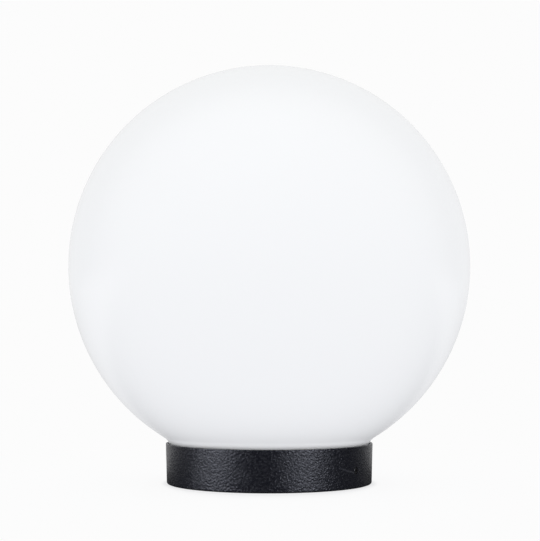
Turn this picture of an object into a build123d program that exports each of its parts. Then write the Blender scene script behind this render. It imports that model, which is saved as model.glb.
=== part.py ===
from build123d import *
import os
from math import atan2, cos, degrees, radians, sin, sqrt, tan

# Garden globe light: an opal globe on a round black base, with its lamp holder and screw-in bulb.
# Millimetres. The origin is the centre of the base's underside, +Z is up and the front is towards -Y.

os.makedirs("parts", exist_ok=True)

# ---- globe ----
GLOBE_R = 100.0  # outside of the sphere
GLOBE_WALL = 2.2
GLOBE_FLARE_R = 8.0  # hollow round between the sphere and its shoulder
SHOULDER_R = 48.9  # outside of the shoulder that sits in the base
SHOULDER_H = 1.3  # straight stretch of the shoulder, below the flare
SHOULDER_STEP = 3.1  # from the shoulder in to the neck
NECK_LENGTH = 9.9  # neck below the shoulder

# ---- base cup ----
BASE_H = 19.7
RIM_GAP = 1.2  # round the globe's shoulder
RIM_WALL = 1.3
RIM_DEPTH = 6.2  # from the rim down to the shelf
BASE_DRAFT = 0.6  # the foot is this much smaller in radius than the rim
BASE_WALL = 2.1
BASE_FLOOR = 3.0
FOOT_ROUND = 0.8
RIM_ROUND = 0.3
SHELF_T = 1.8
SHELF_GAP = 0.8  # round the neck
SEAL_T = 1.3
SEAL_GAP = 0.2
SEAL_ROUND = 0.3
GUSSET_COUNT = 24
GUSSET_T = 1.2
GUSSET_H = 6.0
GUSSET_GAP = 0.6  # the gussets stop this far short of the shelf's edge
FLOOR_BOSS_H = 2.0
GASKET_INSET = 3.3  # from the foot's outside to the gasket's
GASKET_W = 3.5
GASKET_T = 1.5
GASKET_GAP = 0.15
MOUNT_SPACING = 70.0  # between the two fixing slots
MOUNT_SLOT_W = 5.2
MOUNT_SLOT_LENGTH = 9.0

# ---- cable inlet ----
CABLE_X = -20.0
CABLE_Y = 20.0
CABLE_R = 4.0
GROMMET_NECK_R = 6.5
GROMMET_FLANGE_R = 8.5
GROMMET_FLANGE_T = 1.3
GROMMET_RECESS = 1.2  # sinks the lower flange into the underside
GROMMET_LIFT = 0.1  # keeps the lower flange clear of the ground
GROMMET_GAP = 0.1

# ---- screws that hold the globe ----
GRUB_COUNT = 2
GRUB_FIRST_ANGLE = -36.4  # seen from above, from +X; the front is at -90
GRUB_Z = 8.6
GRUB_R = 1.5
GRUB_LENGTH = 4.0
GRUB_POINT = 0.4
GRUB_SOCKET_R = 0.87  # corners of the hexagon socket
GRUB_SOCKET_DEPTH = 1.8
GRUB_GAP = 0.05
GRUB_HOLE_R = 1.6  # in the collar's outside
GRUB_BOSS_R = 3.75
GRUB_BOSS_GAP = 0.5
PAD_R = 1.4
PAD_T = 1.0
PAD_GAP = 0.15
PAD_ROUND = 0.2
INSERT_R = 2.2
INSERT_LENGTH = 3.8
INSERT_SINK = 0.2  # behind the boss's face

# ---- steel bracket and its screws ----
STRIP_T = 1.2
STRIP_HALF_W = 6.0
STRIP_BEND_R = 1.6
BRACKET_REACH = 34.0
BRACKET_HALF_SPAN = 21.4  # to the middle of each riser
BRACKET_RISE = 6.0
BRACKET_SCREW_X = 28.0
FLOOR_BOSS_R = 3.6
FIXING_X = 7.0  # screws from the bracket up into the holder
M3_R = 1.5
M3_GAP = 0.15
M3_HEAD_R = 2.7
M3_HEAD_H = 1.8
M3_SLOT_W = 0.8
M3_SLOT_DEPTH = 0.8
FIXING_DEPTH = 4.2  # into the holder
SCREW_HOLE_SPARE = 0.4
FLOOR_SKIN = 0.7  # left under each blind screw hole

# ---- E27 thread and bulb cap ----
THREAD_PITCH = 3.629
THREAD_R = 11.85  # centre line of the rounded thread
THREAD_RIDGE_R = 1.3
THREAD_TURNS = 4
THREAD_GAP = 0.2
THREAD_START = 6.0  # above the bulb's tip
GROOVE_TURNS = 5  # up to where the groove leaves the sleeve
GROOVE_RUN_IN = 0.05  # turns of groove below the start of the bulb's thread
GROOVE_MARGIN = 0.4
CAP_CORE_R = 12.2
CAP_WALL = 0.8
CAP_START = 3.6
CAP_TOP = 25.3
SLEEVE_WALL = 1.7

# ---- ceramic holder ----
HOLDER_R = 21.5
HOLDER_TOP_R = 19.5
HOLDER_H = 36.0
HOLDER_STEP_H = 19.0
HOLDER_ROUND = 1.0
SLEEVE_GAP = 0.15
WELL_R = 12.6
WELL_FLOOR = 5.4
TIP_HEIGHT = 10.0  # bulb's tip above the holder's underside
LEAF_T = 0.6
LEAF_HALF_W = 2.5
LEAF_BEND_R = 0.7
LEAF_GAP = 0.3
LEAF_TIP_GAP = 0.15
LEAF_FLAT = 3.5
LEAF_REACH = 4.5  # past the holder's axis
LEAF_RISE_START = 5.5
TERMINAL_Y = 17.5  # back of each terminal pocket
TERMINAL_HALF_W = 5.0
TERMINAL_H = 9.8
TERMINAL_SCREW_Z = 3.6  # above the holder's underside
TERMINAL_STRIP_Z = 1.0
TERMINAL_SCREW_DEPTH = 3.0
SIDE_STRIP_Z = 8.1

# ---- terminal block ----
BLOCK_ANGLE = 48.0
BLOCK_LENGTH = 14.6
BLOCK_SLAB_H = 2.0
BLOCK_SLAB_W = 19.4
POLE_OFFSET = 5.8
POLE_W = 6.8
POLE_H = 9.0
POLE_ROUND = 0.8
TUBE_R = 2.3
TUBE_BORE_R = 1.5
TUBE_LENGTH = 13.6
TUBE_RISE = 3.4  # tube's axis above the slab
TUBE_GAP = 0.05
CLAMP_X = 3.8
CLAMP_LENGTH = 3.5
CLAMP_WELL_R = 1.9
BLOCK_HEAD_GAP = 0.2
BLOCK_BOSS_R = 5.0

# ---- internal wires ----
WIRE_R = 1.1
CORE_R = 0.6
CORE_GAP = 0.05
CORE_IN_TUBE = 5.6
WIRE_TUBE_GAP = 0.2
CORE_UNDER_HEAD = 5.2
BEND_SHARE = 0.45  # of the shorter run that a bend may take up
WIRE_TAIL = 6.7  # straight down from the holder
LIVE_LEAD = 4.0  # out of the block
LIVE_LEAD_SAG = 0.6
LIVE_BEND = (-5.0, -3.2, -4.2)  # from the wire's start at the block
NEUTRAL_LEAD = 5.0
NEUTRAL_LEAD_SAG = 0.8
NEUTRAL_BENDS = ((-6.3, -10.4, -3.0), (-7.3, -19.4, -3.2))  # from the wire's start at the block
NEUTRAL_RISE = (7.0, 4.2, -6.2)  # from the wire's end at the holder

# ---- bulb ----
BULB_LENGTH = 108.0
DIFFUSER_SWELL = 0.7  # the dome is this much wider in radius than the housing's top
TIP_R = 3.0
TIP_TOP_R = 4.6
TIP_H = 1.2
BEAD_LOW_R = 4.9
BEAD_R = 11.9
BEAD_EDGE_H = 0.4
BEAD_SPIGOT_H = 1.4
HOUSING_R = 13.2
HOUSING_TOP = 61.8  # above the bulb's tip
HOUSING_TOP_R = 29.3
HOUSING_COLLAR_H = 2.0
HOUSING_WAIST_SHARE = 0.5
HOUSING_HOLLOW = 2.6  # how far the flare bends in from a straight cone
HOUSING_WALL = 1.6
SPIGOT_WALL = 1.2
SPIGOT_H = 4.3
LED_BOARD_T = 1.5
LED_BOARD_SINK = 0.5
LED_BOARD_GAP = 0.6
LED_LEDGE_W = 1.6
LED_LEDGE_H = 1.4
LED_COUNT = 12
LED_CIRCLE_R = 18.0
LED_W = 2.8
LED_T = 0.7
DIFFUSER_WALL = 1.2
DRIVER_T = 1.6
DRIVER_GAP = 0.1
DRIVER_START = 8.0
CHOKE_W = 8.0
CHOKE_H = 7.0
CHOKE_DEPTH = 6.0
CAPACITOR_R = 3.6
CAPACITOR_H = 12.0

# ---- places worked out from the sizes above ----
NECK_R = SHOULDER_R - SHOULDER_STEP
RIM_IN_R = SHOULDER_R + RIM_GAP
BASE_RIM_R = RIM_IN_R + RIM_WALL
BASE_FOOT_R = BASE_RIM_R - BASE_DRAFT
WALL_IN_R = BASE_FOOT_R - BASE_WALL
SHELF_IN_R = NECK_R + SHELF_GAP
SHELF_Z = BASE_H - RIM_DEPTH
SEAT_Z = SHELF_Z + SEAL_T
FLARE_Z = SEAT_Z + SHOULDER_H
FLARE_CENTRE_R = SHOULDER_R + GLOBE_FLARE_R
GLOBE_Z = FLARE_Z + sqrt((GLOBE_R + GLOBE_FLARE_R) ** 2 - FLARE_CENTRE_R**2)
BOSS_TOP_Z = BASE_FLOOR + FLOOR_BOSS_H
BLIND_DEPTH = BOSS_TOP_Z - FLOOR_SKIN
HOLDER_Z = BOSS_TOP_Z + BRACKET_RISE + STRIP_T
TIP_Z = HOLDER_Z + TIP_HEIGHT
WELL_Z = HOLDER_Z + WELL_FLOOR
THREAD_Z = TIP_Z + THREAD_START
GROOVE_R = THREAD_RIDGE_R + THREAD_GAP
GROOVE_TOP_Z = THREAD_Z + GROOVE_TURNS * THREAD_PITCH
SLEEVE_Z = THREAD_Z - GROOVE_RUN_IN * THREAD_PITCH - GROOVE_R - GROOVE_MARGIN
SLEEVE_TOP_Z = GROOVE_TOP_Z - GROOVE_R - GROOVE_MARGIN
SLEEVE_IN_R = CAP_CORE_R + THREAD_GAP
SLEEVE_R = SLEEVE_IN_R + SLEEVE_WALL
SLEEVE_MID_R = SLEEVE_IN_R + SLEEVE_WALL / 2
TERMINAL_STRIP_Y = TERMINAL_Y + LEAF_T / 2
HEAD_Y = TERMINAL_Y + LEAF_T + 2 * CORE_R  # underside of a terminal screw's head
BLOCK_Z = BOSS_TOP_Z + BLOCK_SLAB_H
NECK_IN_R = NECK_R - GLOBE_WALL
BLOCK_DISTANCE = (HOLDER_R + sqrt(NECK_IN_R**2 - (BLOCK_SLAB_W / 2) ** 2)) / 2  # midway
BULB_R = HOUSING_TOP_R + DIFFUSER_SWELL
TUBE_Z = BLOCK_Z + TUBE_RISE
PAD_IN_R = NECK_R + PAD_GAP
GRUB_IN_R = PAD_IN_R + PAD_T + GRUB_GAP
GRUB_BOSS_IN_R = NECK_R + GRUB_BOSS_GAP
INSERT_IN_R = GRUB_BOSS_IN_R + INSERT_SINK
MOUNT_YS = (-MOUNT_SPACING / 2, MOUNT_SPACING / 2)
GRUB_ANGLES = [GRUB_FIRST_ANGLE + i * 360 / GRUB_COUNT for i in range(GRUB_COUNT)]


def turned(centre, radius, angle):
    """The point at this angle, in degrees, on a circle in a profile of (radius, height)."""
    return (centre[0] + radius * cos(radians(angle)), centre[1] + radius * sin(radians(angle)))


def radial_plane(angle, distance, z):
    """A plane that faces straight out from the axis, with its y upwards."""
    out = Vector(cos(radians(angle)), sin(radians(angle)), 0)
    return Plane(
        origin=(distance * out.X, distance * out.Y, z),
        x_dir=(-out.Y, out.X, 0),
        z_dir=(out.X, out.Y, 0),
    )


def section_plane(angle):
    """An upright plane through the axis, with its x outwards and its y upwards."""
    out = Vector(cos(radians(angle)), sin(radians(angle)), 0)
    return Plane((0, 0, 0), x_dir=(out.X, out.Y, 0), z_dir=(out.Y, -out.X, 0))


def bend_radii(points):
    """A bend radius for each corner of a wire's route, as large as its two runs allow."""
    runs = [Vector(b) - Vector(a) for a, b in zip(points, points[1:])]
    return [
        BEND_SHARE * min(a.length, b.length) / tan(radians(a.get_angle(b)) / 2)
        for a, b in zip(runs, runs[1:])
    ]


# ---- globe ----
GLOBE_CENTRE = (0, GLOBE_Z)
FLARE_CENTRE = (FLARE_CENTRE_R, FLARE_Z)
MEET_ANGLE = degrees(atan2(FLARE_Z - GLOBE_Z, FLARE_CENTRE_R))  # where sphere and flare meet


def globe_outline(wall):
    """The globe's outline in a profile, this far inside its outer face, down to the shoulder."""
    sphere = GLOBE_R - wall
    flare = GLOBE_FLARE_R + wall
    ThreePointArc(
        turned(GLOBE_CENTRE, sphere, 90),
        turned(GLOBE_CENTRE, sphere, (90 + MEET_ANGLE) / 2),
        turned(GLOBE_CENTRE, sphere, MEET_ANGLE),
    )
    ThreePointArc(
        turned(FLARE_CENTRE, flare, MEET_ANGLE + 180),
        turned(FLARE_CENTRE, flare, MEET_ANGLE / 2 + 180),
        turned(FLARE_CENTRE, flare, 180),
    )


with BuildPart() as globe:
    with BuildSketch(Plane.XZ):
        with BuildLine():
            globe_outline(0)
            Polyline(
                (SHOULDER_R, FLARE_Z),
                (SHOULDER_R, SEAT_Z),
                (NECK_R, SEAT_Z),
                (NECK_R, SEAT_Z - NECK_LENGTH),
                (NECK_IN_R, SEAT_Z - NECK_LENGTH),
                (NECK_IN_R, FLARE_Z),
                (SHOULDER_R - GLOBE_WALL, FLARE_Z),
            )
            globe_outline(GLOBE_WALL)
            Line((0, GLOBE_Z + GLOBE_R - GLOBE_WALL), (0, GLOBE_Z + GLOBE_R))
        make_face()
    revolve(axis=Axis.Z)
globe.part.label = "globe"
export_step(globe.part, "parts/globe.step")

# ---- base cup ----
with BuildPart() as base_cup:
    with BuildSketch(Plane.XZ) as cup_section:
        with BuildLine():
            Polyline(
                (0, 0),
                (BASE_FOOT_R, 0),
                (BASE_RIM_R, BASE_H),
                (RIM_IN_R, BASE_H),
                (RIM_IN_R, SHELF_Z),
                (SHELF_IN_R, SHELF_Z),
                (SHELF_IN_R, SHELF_Z - SHELF_T),
                (WALL_IN_R, SHELF_Z - SHELF_T),
                (WALL_IN_R, BASE_FLOOR),
                (0, BASE_FLOOR),
                close=True,
            )
        make_face()
        fillet(cup_section.vertices().group_by(Axis.Y)[-1], RIM_ROUND)
        fillet(cup_section.vertices().sort_by_distance((BASE_FOOT_R, 0))[0], FOOT_ROUND)
    revolve(axis=Axis.Z)
    # gussets under the shelf
    gusset_angles = [(i + 0.5) * 360 / GUSSET_COUNT for i in range(GUSSET_COUNT)]
    with BuildSketch(*[section_plane(angle) for angle in gusset_angles]):
        with BuildLine():
            Polyline(
                (SHELF_IN_R + GUSSET_GAP, SHELF_Z - SHELF_T),
                (WALL_IN_R + BASE_WALL / 2, SHELF_Z - SHELF_T),
                (WALL_IN_R + BASE_WALL / 2, SHELF_Z - SHELF_T - GUSSET_H),
                (WALL_IN_R, SHELF_Z - SHELF_T - GUSSET_H),
                close=True,
            )
        make_face()
    extrude(amount=GUSSET_T / 2, both=True)
    # bosses for the globe's screws, then for the bracket and the terminal block
    for angle in GRUB_ANGLES:
        with BuildSketch(radial_plane(angle, GRUB_BOSS_IN_R, GRUB_Z)):
            Circle(GRUB_BOSS_R)
        extrude(amount=WALL_IN_R + BASE_WALL / 2 - GRUB_BOSS_IN_R)
    block_plane = Plane(
        origin=(
            BLOCK_DISTANCE * cos(radians(BLOCK_ANGLE)),
            BLOCK_DISTANCE * sin(radians(BLOCK_ANGLE)),
            0,
        ),
        x_dir=(cos(radians(BLOCK_ANGLE)), sin(radians(BLOCK_ANGLE)), 0),
        z_dir=(0, 0, 1),
    )
    with BuildSketch(Plane.XY.offset(BASE_FLOOR)):
        with Locations((-BRACKET_SCREW_X, 0), (BRACKET_SCREW_X, 0)):
            Circle(FLOOR_BOSS_R)
    extrude(amount=FLOOR_BOSS_H)
    with BuildSketch(block_plane.offset(BASE_FLOOR)):
        Circle(BLOCK_BOSS_R)
    extrude(amount=FLOOR_BOSS_H)
    # screw holes in the bosses
    for angle in GRUB_ANGLES:
        with BuildSketch(radial_plane(angle, GRUB_BOSS_IN_R, GRUB_Z)):
            Circle(INSERT_R)
        extrude(amount=INSERT_SINK + INSERT_LENGTH, mode=Mode.SUBTRACT)
        with BuildSketch(radial_plane(angle, GRUB_BOSS_IN_R, GRUB_Z)):
            Circle(GRUB_HOLE_R)
        extrude(amount=BASE_RIM_R - GRUB_BOSS_IN_R, mode=Mode.SUBTRACT)
    with BuildSketch(Plane.XY.offset(BOSS_TOP_Z)):
        with Locations((-BRACKET_SCREW_X, 0), (BRACKET_SCREW_X, 0), block_plane.origin):
            Circle(M3_R)
    extrude(amount=-BLIND_DEPTH, mode=Mode.SUBTRACT)
    # fixing slots, cable inlet and the gasket's groove
    with BuildSketch():
        with Locations(*[(0, y) for y in MOUNT_YS]):
            SlotOverall(MOUNT_SLOT_LENGTH, MOUNT_SLOT_W, rotation=90)
        with Locations((CABLE_X, CABLE_Y)):
            Circle(GROMMET_NECK_R)
    extrude(amount=BASE_FLOOR, mode=Mode.SUBTRACT)
    with BuildSketch():
        with Locations((CABLE_X, CABLE_Y)):
            Circle(GROMMET_FLANGE_R + GROMMET_GAP)
    extrude(amount=GROMMET_RECESS, mode=Mode.SUBTRACT)
    with BuildSketch():
        Circle(BASE_FOOT_R - GASKET_INSET + GASKET_GAP)
        Circle(BASE_FOOT_R - GASKET_INSET - GASKET_W - GASKET_GAP, mode=Mode.SUBTRACT)
    extrude(amount=GASKET_T, mode=Mode.SUBTRACT)
base_cup.part.label = "base_cup"
export_step(base_cup.part, "parts/base_cup.step")

# ---- seal, gasket and grommet ----
with BuildPart() as globe_seal:
    with BuildSketch(Plane.XY.offset(SHELF_Z)):
        Circle(RIM_IN_R - SEAL_GAP)
        Circle(SHELF_IN_R, mode=Mode.SUBTRACT)
    extrude(amount=SEAL_T)
    fillet(globe_seal.edges().filter_by(GeomType.CIRCLE), SEAL_ROUND)
globe_seal.part.label = "globe_seal"
export_step(globe_seal.part, "parts/globe_seal.step")

with BuildPart() as base_gasket:
    with BuildSketch():
        Circle(BASE_FOOT_R - GASKET_INSET)
        Circle(BASE_FOOT_R - GASKET_INSET - GASKET_W, mode=Mode.SUBTRACT)
    extrude(amount=GASKET_T)
base_gasket.part.label = "base_gasket"
export_step(base_gasket.part, "parts/base_gasket.step")

with BuildPart() as cable_grommet:
    grommet_foot = Plane.XY.offset(GROMMET_LIFT)
    with BuildSketch(grommet_foot):
        with Locations((CABLE_X, CABLE_Y)):
            Circle(GROMMET_FLANGE_R)
    extrude(amount=GROMMET_RECESS - GROMMET_LIFT)
    with BuildSketch(grommet_foot):
        with Locations((CABLE_X, CABLE_Y)):
            Circle(GROMMET_NECK_R)
    extrude(amount=BASE_FLOOR - GROMMET_LIFT)
    with BuildSketch(Plane.XY.offset(BASE_FLOOR)):
        with Locations((CABLE_X, CABLE_Y)):
            Circle(GROMMET_FLANGE_R)
    extrude(amount=GROMMET_FLANGE_T)
    fillet(cable_grommet.edges().group_by(Axis.Z)[-1], SEAL_ROUND)
    with BuildSketch():
        with Locations((CABLE_X, CABLE_Y)):
            Circle(CABLE_R)
    extrude(amount=BASE_FLOOR + GROMMET_FLANGE_T, mode=Mode.SUBTRACT)
cable_grommet.part.label = "cable_grommet"
export_step(cable_grommet.part, "parts/cable_grommet.step")

# ---- the globe's screws, each in its brass insert with a nylon pad in front ----
with BuildPart() as screw_inserts:
    for angle in GRUB_ANGLES:
        with BuildSketch(radial_plane(angle, INSERT_IN_R, GRUB_Z)):
            Circle(INSERT_R)
            Circle(GRUB_R + GRUB_GAP, mode=Mode.SUBTRACT)
        extrude(amount=INSERT_LENGTH)
screw_inserts.part.label = "screw_inserts"
export_step(screw_inserts.part, "parts/screw_inserts.step")

for number, angle in enumerate(GRUB_ANGLES, start=1):
    with BuildPart() as neck_pad:
        with BuildSketch(radial_plane(angle, PAD_IN_R, GRUB_Z)):
            Circle(PAD_R)
        extrude(amount=PAD_T)
        fillet(neck_pad.edges().filter_by(GeomType.CIRCLE), PAD_ROUND)
    neck_pad.part.label = f"neck_pad_{number}"
    export_step(neck_pad.part, f"parts/neck_pad_{number}.step")

    with BuildPart() as globe_screw:
        with BuildSketch(radial_plane(angle, GRUB_IN_R, GRUB_Z)):
            Circle(GRUB_R)
        extrude(amount=GRUB_LENGTH)
        chamfer(globe_screw.edges().filter_by(GeomType.CIRCLE), GRUB_POINT)
        with BuildSketch(radial_plane(angle, GRUB_IN_R + GRUB_LENGTH, GRUB_Z)):
            RegularPolygon(GRUB_SOCKET_R, 6)
        extrude(amount=-GRUB_SOCKET_DEPTH, mode=Mode.SUBTRACT)
    globe_screw.part.label = f"globe_screw_{number}"
    export_step(globe_screw.part, f"parts/globe_screw_{number}.step")

# ---- bracket ----
with BuildPart() as holder_bracket:
    foot_z = BOSS_TOP_Z + STRIP_T / 2
    plate_z = foot_z + BRACKET_RISE
    with BuildSketch(Plane.XZ):
        with BuildLine():
            FilletPolyline(
                (-BRACKET_REACH, foot_z),
                (-BRACKET_HALF_SPAN, foot_z),
                (-BRACKET_HALF_SPAN, plate_z),
                (BRACKET_HALF_SPAN, plate_z),
                (BRACKET_HALF_SPAN, foot_z),
                (BRACKET_REACH, foot_z),
                radius=STRIP_BEND_R,
            )
        trace(line_width=STRIP_T)
    extrude(amount=STRIP_HALF_W, both=True)
    with BuildSketch(Plane.XY.offset(BOSS_TOP_Z)):
        for x in (BRACKET_SCREW_X, FIXING_X):
            with Locations((-x, 0), (x, 0)):
                Circle(M3_R + M3_GAP)
    extrude(amount=BRACKET_RISE + STRIP_T, mode=Mode.SUBTRACT)
holder_bracket.part.label = "holder_bracket"
export_step(holder_bracket.part, "parts/holder_bracket.step")


def pan_screw(head_planes, shank):
    """Slotted pan-head screws, each with its head in front of its plane and its shank behind."""
    with BuildSketch(*head_planes) as heads:
        Circle(M3_HEAD_R)
    extrude(heads.sketch, amount=M3_HEAD_H)
    with BuildSketch(*head_planes) as shanks:
        Circle(M3_R)
    extrude(shanks.sketch, amount=-shank)
    with BuildSketch(*[plane.offset(M3_HEAD_H) for plane in head_planes]) as slots:
        Rectangle(2 * M3_HEAD_R, M3_SLOT_W)
    extrude(slots.sketch, amount=-M3_SLOT_DEPTH, mode=Mode.SUBTRACT)


with BuildPart() as bracket_screws:
    pan_screw(
        [Plane((x, 0, BOSS_TOP_Z + STRIP_T)) for x in (-BRACKET_SCREW_X, BRACKET_SCREW_X)],
        STRIP_T + BLIND_DEPTH - SCREW_HOLE_SPARE,
    )
bracket_screws.part.label = "bracket_screws"
export_step(bracket_screws.part, "parts/bracket_screws.step")

with BuildPart() as holder_fixing_screws:
    pan_screw(
        [
            Plane((x, 0, HOLDER_Z - STRIP_T), x_dir=(1, 0, 0), z_dir=(0, 0, -1))
            for x in (-FIXING_X, FIXING_X)
        ],
        STRIP_T + FIXING_DEPTH,
    )
holder_fixing_screws.part.label = "holder_fixing_screws"
export_step(holder_fixing_screws.part, "parts/holder_fixing_screws.step")

# ---- ceramic holder ----
with BuildPart() as holder_body:
    with BuildSketch(Plane.XZ) as holder_section:
        with BuildLine():
            Polyline(
                (0, HOLDER_Z),
                (HOLDER_R, HOLDER_Z),
                (HOLDER_R, HOLDER_Z + HOLDER_STEP_H),
                (HOLDER_TOP_R, HOLDER_Z + HOLDER_STEP_H + HOLDER_R - HOLDER_TOP_R),
                (HOLDER_TOP_R, HOLDER_Z + HOLDER_H),
                (SLEEVE_R + SLEEVE_GAP, HOLDER_Z + HOLDER_H),
                (SLEEVE_R + SLEEVE_GAP, SLEEVE_Z),
                (WELL_R, SLEEVE_Z),
                (WELL_R, WELL_Z),
                (0, WELL_Z),
                close=True,
            )
        make_face()
        outer_corners = holder_section.vertices().filter_by(lambda v: v.X > HOLDER_TOP_R - 0.1)
        fillet(outer_corners, HOLDER_ROUND)
    revolve(axis=Axis.Z)
    # a pocket on each side for a terminal, open outwards and downwards
    with BuildSketch(Plane.XY.offset(HOLDER_Z)):
        for side in (-1, 1):
            with Locations((0, side * (TERMINAL_Y + HOLDER_R) / 2)):
                Rectangle(2 * TERMINAL_HALF_W, HOLDER_R - TERMINAL_Y)
    extrude(amount=TERMINAL_H, mode=Mode.SUBTRACT)
    # slots for the two contact strips
    with BuildSketch(Plane.XY.offset(WELL_Z)):
        with Locations((0, TERMINAL_Y / 2)):
            Rectangle(2 * (LEAF_HALF_W + LEAF_GAP), TERMINAL_Y)
    extrude(amount=LEAF_T + 3 * LEAF_GAP, mode=Mode.SUBTRACT)
    with BuildSketch(Plane.XY.offset(HOLDER_Z + SIDE_STRIP_Z - LEAF_T / 2 - LEAF_GAP)):
        with Locations((0, -(TERMINAL_Y + WELL_R - 2 * LEAF_GAP) / 2)):
            Rectangle(2 * (LEAF_HALF_W + LEAF_GAP), TERMINAL_Y - WELL_R + 2 * LEAF_GAP)
    extrude(amount=LEAF_T + 2 * LEAF_GAP, mode=Mode.SUBTRACT)
    with BuildSketch(Plane.XY.offset(HOLDER_Z + SIDE_STRIP_Z)):
        with Locations((0, -(SLEEVE_MID_R + LEAF_T / 2 + LEAF_GAP + WELL_R - 2 * LEAF_GAP) / 2)):
            Rectangle(
                2 * (LEAF_HALF_W + LEAF_GAP),
                SLEEVE_MID_R + LEAF_T / 2 + LEAF_GAP - WELL_R + 2 * LEAF_GAP,
            )
    extrude(amount=SLEEVE_Z - HOLDER_Z - SIDE_STRIP_Z, mode=Mode.SUBTRACT)
    # blind holes for the terminal screws and for the fixing screws
    for side in (-1, 1):
        screw_z = HOLDER_Z + TERMINAL_SCREW_Z
        with BuildSketch(Plane((0, side * TERMINAL_Y, screw_z), x_dir=(1, 0, 0), z_dir=(0, side, 0))):
            Circle(M3_R + M3_GAP)
        extrude(amount=-TERMINAL_SCREW_DEPTH - SCREW_HOLE_SPARE, mode=Mode.SUBTRACT)
    with BuildSketch(Plane.XY.offset(HOLDER_Z)):
        with Locations((-FIXING_X, 0), (FIXING_X, 0)):
            Circle(M3_R)
    extrude(amount=FIXING_DEPTH + SCREW_HOLE_SPARE, mode=Mode.SUBTRACT)
holder_body.part.label = "holder_body"
export_step(holder_body.part, "parts/holder_body.step")

# ---- threaded sleeve ----
with BuildPart() as groove:
    with BuildLine() as groove_path:
        Helix(
            pitch=THREAD_PITCH,
            height=(GROOVE_TURNS + GROOVE_RUN_IN) * THREAD_PITCH,
            radius=THREAD_R,
        )
    with BuildSketch(
        Plane(groove_path.line @ 0, x_dir=(1, 0, 0), z_dir=groove_path.line % 0)
    ):
        Circle(GROOVE_R)
    sweep(path=groove_path.line, is_frenet=True)

with BuildPart() as holder_shell:
    with BuildSketch(Plane.XY.offset(SLEEVE_Z)):
        Circle(SLEEVE_R)
        Circle(SLEEVE_IN_R, mode=Mode.SUBTRACT)
    extrude(amount=SLEEVE_TOP_Z - SLEEVE_Z)
    # the groove is laid upside down, from above the mouth, so that it runs out there and ends inside
    add(groove.part.moved(Location((0, 0, GROOVE_TOP_Z), (180, 0, 0))), mode=Mode.SUBTRACT)
holder_shell.part.label = "holder_shell"
export_step(holder_shell.part, "parts/holder_shell.step")

# ---- contact strips and their terminal screws ----
with BuildPart() as holder_centre_contact:
    leaf_z = WELL_Z + LEAF_GAP + LEAF_T / 2
    leaf_top_z = TIP_Z - LEAF_TIP_GAP - LEAF_T / 2
    with BuildSketch(Plane.YZ):
        with BuildLine():
            FilletPolyline(
                (TERMINAL_STRIP_Y, HOLDER_Z + TERMINAL_STRIP_Z),
                (TERMINAL_STRIP_Y, leaf_z),
                (LEAF_RISE_START, leaf_z),
                (LEAF_FLAT - LEAF_REACH, leaf_top_z),
                (-LEAF_REACH, leaf_top_z),
                radius=LEAF_BEND_R,
            )
        trace(line_width=LEAF_T)
    extrude(amount=LEAF_HALF_W, both=True)
    with BuildSketch(Plane.XZ.offset(-TERMINAL_Y)):
        with Locations((0, HOLDER_Z + TERMINAL_SCREW_Z)):
            Circle(M3_R + M3_GAP / 2)
    extrude(amount=-LEAF_T, mode=Mode.SUBTRACT)
holder_centre_contact.part.label = "holder_centre_contact"
export_step(holder_centre_contact.part, "parts/holder_centre_contact.step")

with BuildPart() as holder_side_contact:
    with BuildSketch(Plane.YZ):
        with BuildLine():
            FilletPolyline(
                (-TERMINAL_STRIP_Y, HOLDER_Z + TERMINAL_STRIP_Z),
                (-TERMINAL_STRIP_Y, HOLDER_Z + SIDE_STRIP_Z),
                (-SLEEVE_MID_R, HOLDER_Z + SIDE_STRIP_Z),
                (-SLEEVE_MID_R, SLEEVE_Z),
                radius=LEAF_BEND_R,
            )
        trace(line_width=LEAF_T)
    extrude(amount=LEAF_HALF_W, both=True)
    with BuildSketch(Plane.XZ.offset(TERMINAL_Y)):
        with Locations((0, HOLDER_Z + TERMINAL_SCREW_Z)):
            Circle(M3_R + M3_GAP / 2)
    extrude(amount=LEAF_T, mode=Mode.SUBTRACT)
holder_side_contact.part.label = "holder_side_contact"
export_step(holder_side_contact.part, "parts/holder_side_contact.step")

with BuildPart() as holder_terminal_screws:
    pan_screw(
        [
            Plane(
                (0, side * HEAD_Y, HOLDER_Z + TERMINAL_SCREW_Z),
                x_dir=(1, 0, 0),
                z_dir=(0, side, 0),
            )
            for side in (-1, 1)
        ],
        HEAD_Y - TERMINAL_Y + TERMINAL_SCREW_DEPTH,
    )
holder_terminal_screws.part.label = "holder_terminal_screws"
export_step(holder_terminal_screws.part, "parts/holder_terminal_screws.step")

# ---- terminal block, which stands radially on its boss ----
POLE_YS = (-POLE_OFFSET, POLE_OFFSET)
CLAMPS = [(x, y) for x in (-CLAMP_X, CLAMP_X) for y in POLE_YS]


def tube_planes(x):
    """A plane across each tube of the terminal block, this far along it."""
    return [
        Plane(
            block_plane.from_local_coords((x, y, TUBE_Z)),
            x_dir=block_plane.y_dir,
            z_dir=block_plane.x_dir,
        )
        for y in POLE_YS
    ]


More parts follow.
